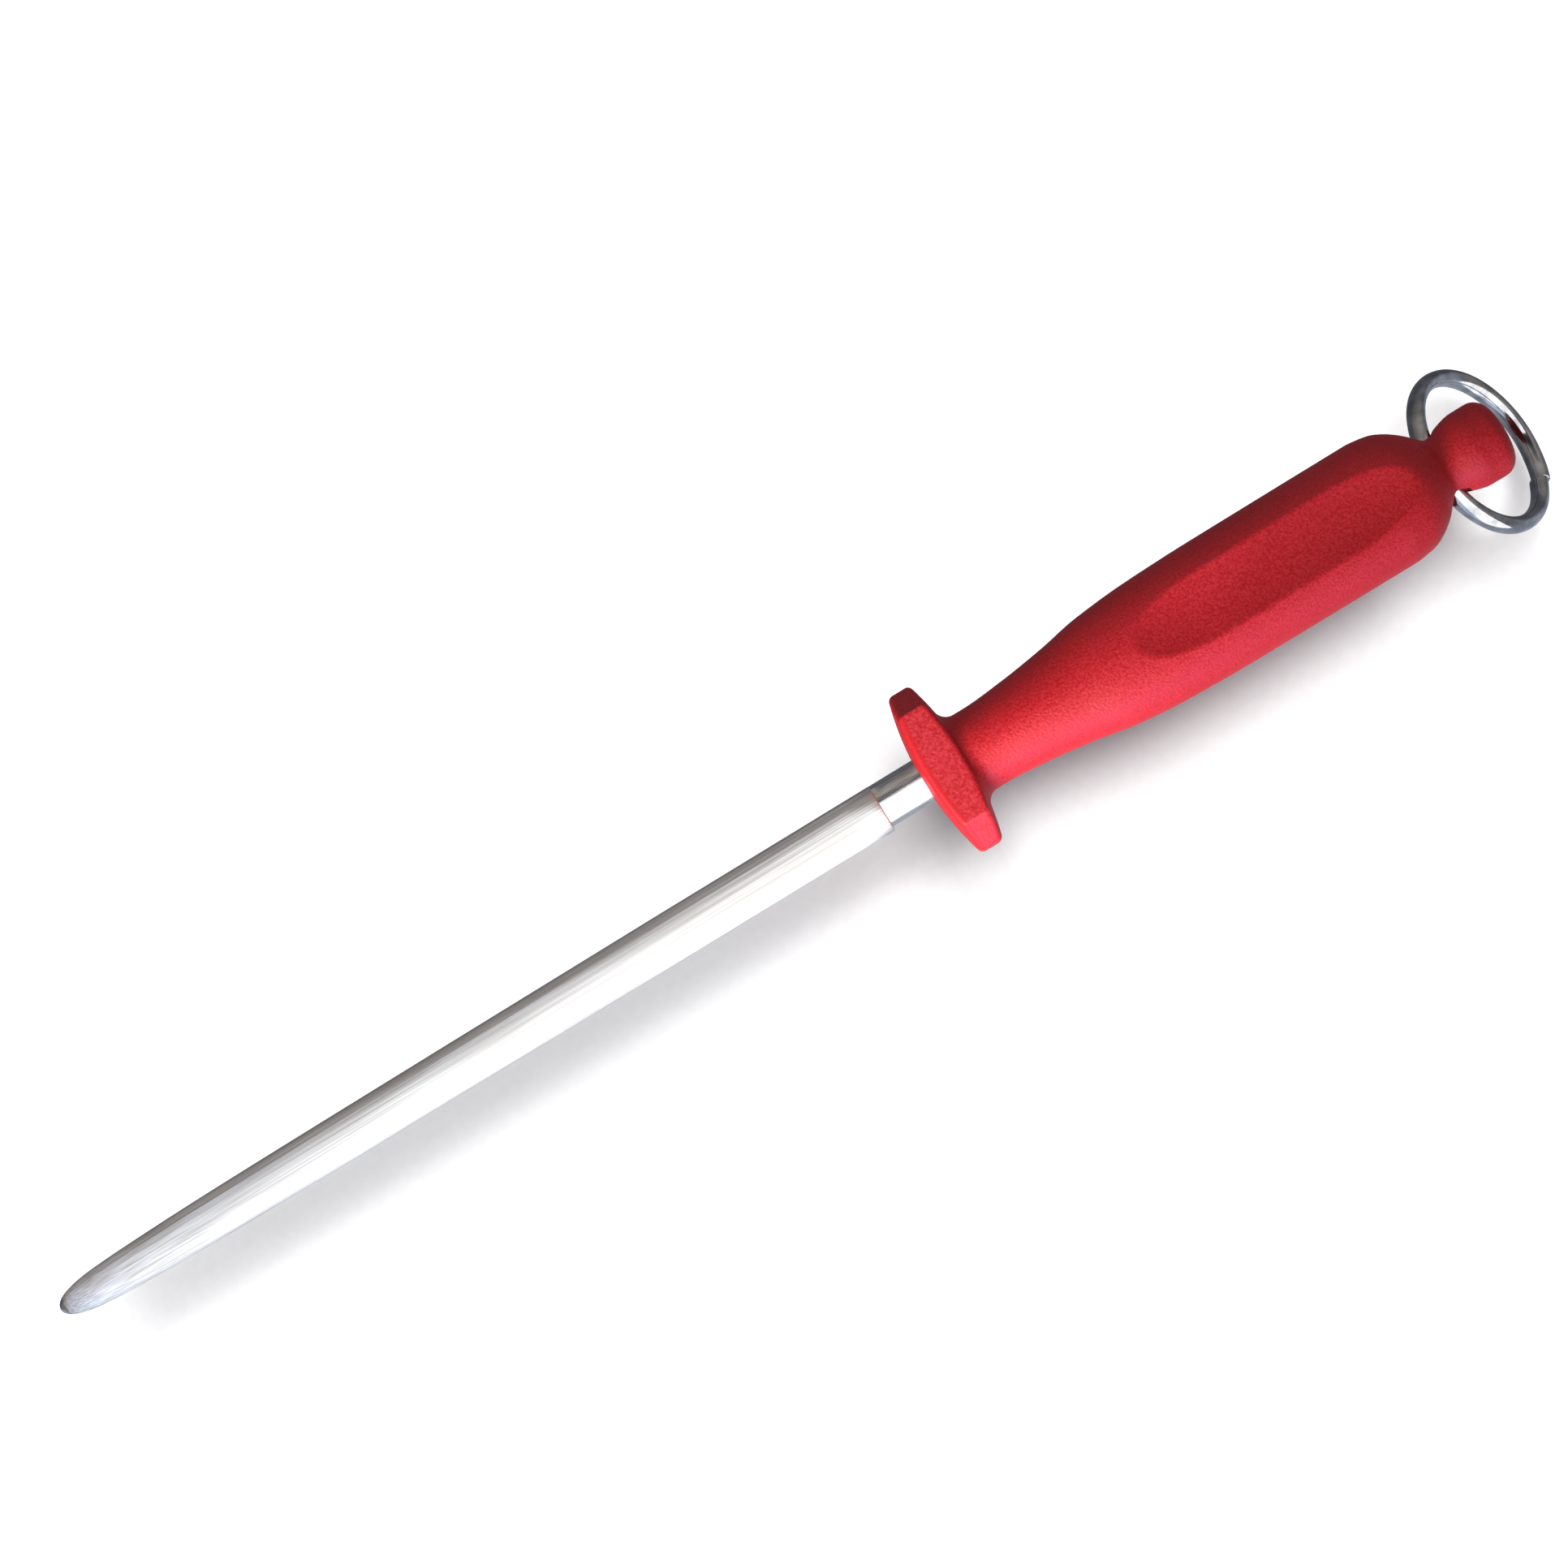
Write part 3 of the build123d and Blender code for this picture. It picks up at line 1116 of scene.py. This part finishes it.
@dataclass
class Studio:
    """White paper, soft lights and the camera above the steel.

    Each light reaches one collection only, so the steel, the plastic and the paper keep their own levels.
    """

    camera_height: float = 700.0
    camera_roll: float = 6.0
    camera_over: float = 5.1
    view_turn: float = 31.4
    view_width: float = 394.128
    view_shift: tuple[float, float] = (-0.0737, 0.0087)
    film_width: float = 36.0
    ring_reach: float = 45.4
    paper_reach: float = 4000.0
    steel: bpy.types.Collection = field(default_factory=lambda: bpy.data.collections.new("steel"))
    plastic: bpy.types.Collection = field(default_factory=lambda: bpy.data.collections.new("plastic"))
    stage: bpy.types.Collection = field(default_factory=lambda: bpy.data.collections.new("paper"))

    def camera(self) -> None:
        """Looks down on the steel, rolled about its axis towards -Y, with the handle up to the right."""
        roll, turn = radians(self.camera_roll), radians(self.view_turn)
        side = Vector((0, cos(roll), sin(roll)))
        back = Vector((0, -sin(roll), cos(roll)))
        along = Vector((1, 0, 0))
        right = along * cos(turn) - side * sin(turn)
        up = along * sin(turn) + side * cos(turn)
        data = bpy.data.cameras.new("camera")
        data.sensor_width = self.film_width
        data.lens = self.film_width * self.camera_height / self.view_width
        data.shift_x, data.shift_y = self.view_shift
        data.clip_start = 0.01
        camera = bpy.data.objects.new("camera", data)
        place = (along * self.camera_over + back * self.camera_height) * MM
        axes = Matrix((right, up, back)).transposed().to_4x4()
        camera.matrix_world = Matrix.Translation(place) @ axes
        bpy.context.scene.collection.objects.link(camera)
        bpy.context.scene.camera = camera

    def hang(self, data: bpy.types.Light, place: Matrix, reaches: bpy.types.Collection) -> bpy.types.Object:
        """Puts a light in the scene.

        Args:
            data: the lamp.
            place: where it hangs, facing down its own Z.
            reaches: the only things that it lights.

        Returns:
            The light.
        """
        light = bpy.data.objects.new(data.name, data)
        light.matrix_world = place
        bpy.context.scene.collection.objects.link(light)
        light.light_linking.receiver_collection = reaches
        return light

    def soft_box(
        self,
        name: str,
        reaches: bpy.types.Collection,
        away: float,
        lean: float,
        size: tuple[float, float],
        power: float,
        shift: float,
        colour: str = "#FFFFFF",
    ) -> None:
        """Hangs a rectangular light that faces the axis.

        Args:
            name: the light's name.
            reaches: the only things that it lights.
            away: its distance from the axis, in metres.
            lean: degrees from straight up towards -Y.
            size: its lengths along X and across X, in metres.
            power: watts.
            shift: its place along X, in metres.
            colour: its sheet colour.
        """
        data = bpy.data.lights.new(name, "AREA")
        data.shape = "RECTANGLE"
        data.size, data.size_y = size
        data.energy = power
        data.color = linear_colour(colour)[:3]
        angle = radians(lean)
        over = Matrix.Translation((shift, -away * sin(angle), away * cos(angle)))
        light = self.hang(data, over @ Matrix.Rotation(angle, 4, "X"), reaches)
        light.visible_camera = False

    def lights(self) -> None:
        """Two cards for the steel, a key and a low light for the plastic, and a wide sky for the paper."""
        self.soft_box("wide_card", self.steel, away=0.95, lean=50.0, size=(1.3, 3.2), power=32.5, shift=0.13)
        self.soft_box(
            "window_card",
            self.steel,
            away=0.95,
            lean=50.0,
            size=(1.0, 3.2),
            power=11.0,
            shift=-1.02,
            colour="#C4DCFF",
        )
        self.soft_box(
            "plastic_key", self.plastic, away=0.2, lean=46.0, size=(0.18, 0.18), power=1.5, shift=-0.14
        )
        self.soft_box(
            "plastic_low_light",
            self.plastic,
            away=0.5,
            lean=80.0,
            size=(0.6, 0.3),
            power=2.3,
            shift=-0.14,
            colour="#C9C4FF",
        )
        sky = bpy.data.lights.new("paper_light", "SUN")
        sky.energy, sky.angle = 3.6, radians(33.1)
        lean = Matrix.Rotation(radians(7.0), 4, "Y") @ Matrix.Rotation(radians(-6.0), 4, "X")
        self.hang(sky, lean, self.stage)

    def reflected_room(self, tree: bpy.types.NodeTree) -> bpy.types.Node:
        """What a reflection finds round the steel.

        The ceiling is dark straight overhead and paler towards the walls. Low down lies the paper, bright
        on the -Y side, and in the steel's own shadow on the other side.

        Args:
            tree: the world's node tree.

        Returns:
            The mix, whose third output is the room's colour.
        """
        direction = add_node(tree, "ShaderNodeTexCoord")
        spot = add_node(tree, "ShaderNodeSeparateXYZ", {0: direction.outputs["Generated"]})
        ceiling = add_node(tree, "ShaderNodeValToRGB", {0: spot.outputs["Z"]})
        tones = ((0.0, "#8C8A8C"), (0.35, "#A89F98"), (0.72, "#C6BEB6"), (0.9, "#5C5858"), (1.0, "#2C2A2C"))
        for _ in tones[2:]:
            ceiling.color_ramp.elements.new(0.5)
        for stop, (place, tone) in zip(ceiling.color_ramp.elements, tones):
            stop.position, stop.color = place, linear_colour(tone)
        to_lit_side = {"Value": spot.outputs["Y"], "From Min": 0.25, "From Max": -0.25}
        lit_side = add_node(tree, "ShaderNodeMapRange", to_lit_side)
        shades = {0: lit_side.outputs[0], 6: linear_colour("#686A70"), 7: linear_colour("#BCC4D0")}
        paper = add_node(tree, "ShaderNodeMix", shades, data_type="RGBA")
        downwards = {"Value": spot.outputs["Z"], "From Min": 0.05, "From Max": -0.25}
        low = add_node(tree, "ShaderNodeMapRange", downwards)
        both = {0: low.outputs[0], 6: ceiling.outputs[0], 7: paper.outputs[2]}
        return add_node(tree, "ShaderNodeMix", both, data_type="RGBA")

    def world(self) -> None:
        """Surroundings: white where they are seen directly, a room in reflections, and grey fill light."""
        world = bpy.data.worlds.new("studio")
        world.use_nodes = True
        tree = world.node_tree
        tree.nodes.clear()
        ray = add_node(tree, "ShaderNodeLightPath")
        room = self.reflected_room(tree)
        fill = add_node(tree, "ShaderNodeBackground", {"Color": linear_colour("#8E8E92"), "Strength": 0.9})
        reflected = add_node(tree, "ShaderNodeBackground", {"Color": room.outputs[2], "Strength": 1.0})
        white = add_node(tree, "ShaderNodeBackground", {"Color": linear_colour("#FFFFFF"), "Strength": 1.0})
        unseen = {0: ray.outputs["Is Glossy Ray"], 1: fill.outputs[0], 2: reflected.outputs[0]}
        on_things = add_node(tree, "ShaderNodeMixShader", unseen)
        all_rays = {0: ray.outputs["Is Camera Ray"], 1: on_things.outputs[0], 2: white.outputs[0]}
        mixed = add_node(tree, "ShaderNodeMixShader", all_rays)
        add_node(tree, "ShaderNodeOutputWorld", {"Surface": mixed.outputs[0]})
        bpy.context.scene.world = world

    def floor(self) -> None:
        """A wide sheet of white paper, which throws no colour back at the steel.

        It lies just below the lowest point that the ring swings through.
        """
        reach, height = self.paper_reach * MM, -self.ring_reach * MM
        corners = [(-reach, -reach), (reach, -reach), (reach, reach), (-reach, reach)]
        mesh = bpy.data.meshes.new("floor")
        mesh.from_pydata([(x, y, height) for x, y in corners], [], [(0, 1, 2, 3)])
        floor = bpy.data.objects.new("floor", mesh)
        bpy.context.scene.collection.objects.link(floor)
        self.stage.objects.link(floor)
        dress(floor, [FLOOR_PAPER])
        floor.visible_diffuse = False
        floor.visible_glossy = False

    def build(self) -> None:
        """Sets up everything that isn't the steel."""
        self.camera()
        self.lights()
        self.world()
        self.floor()
        bpy.context.scene.view_settings.view_transform = "Standard"


def main() -> None:
    """Builds the studio, then the three pieces, and reports each."""
    logging.basicConfig(level=logging.INFO, format="%(name)s: %(message)s")
    studio = Studio()
    studio.build()
    pieces = (
        (SharpeningRod(), "steel", "rod", studio.steel),
        (MouldedHandle(), "steel", "handle", studio.plastic),
        (HangRing(), "ring", "hang_ring", studio.steel),
    )
    for maker, body, node, lit_with in pieces:
        piece = maker.build()
        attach(piece, body)
        lit_with.objects.link(piece)
        corners = np.array([vertex.co for vertex in piece.data.vertices])
        low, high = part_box(node)
        above = (corners.min(0) > np.array(low) - BOX_SLACK).all()
        below = (corners.max(0) < np.array(high) + BOX_SLACK).all()
        faces = len(piece.data.polygons)
        log.info("%s: %d faces, inside its CAD box: %s", piece.name, faces, bool(above and below))


if __name__ == "__main__":
    main()
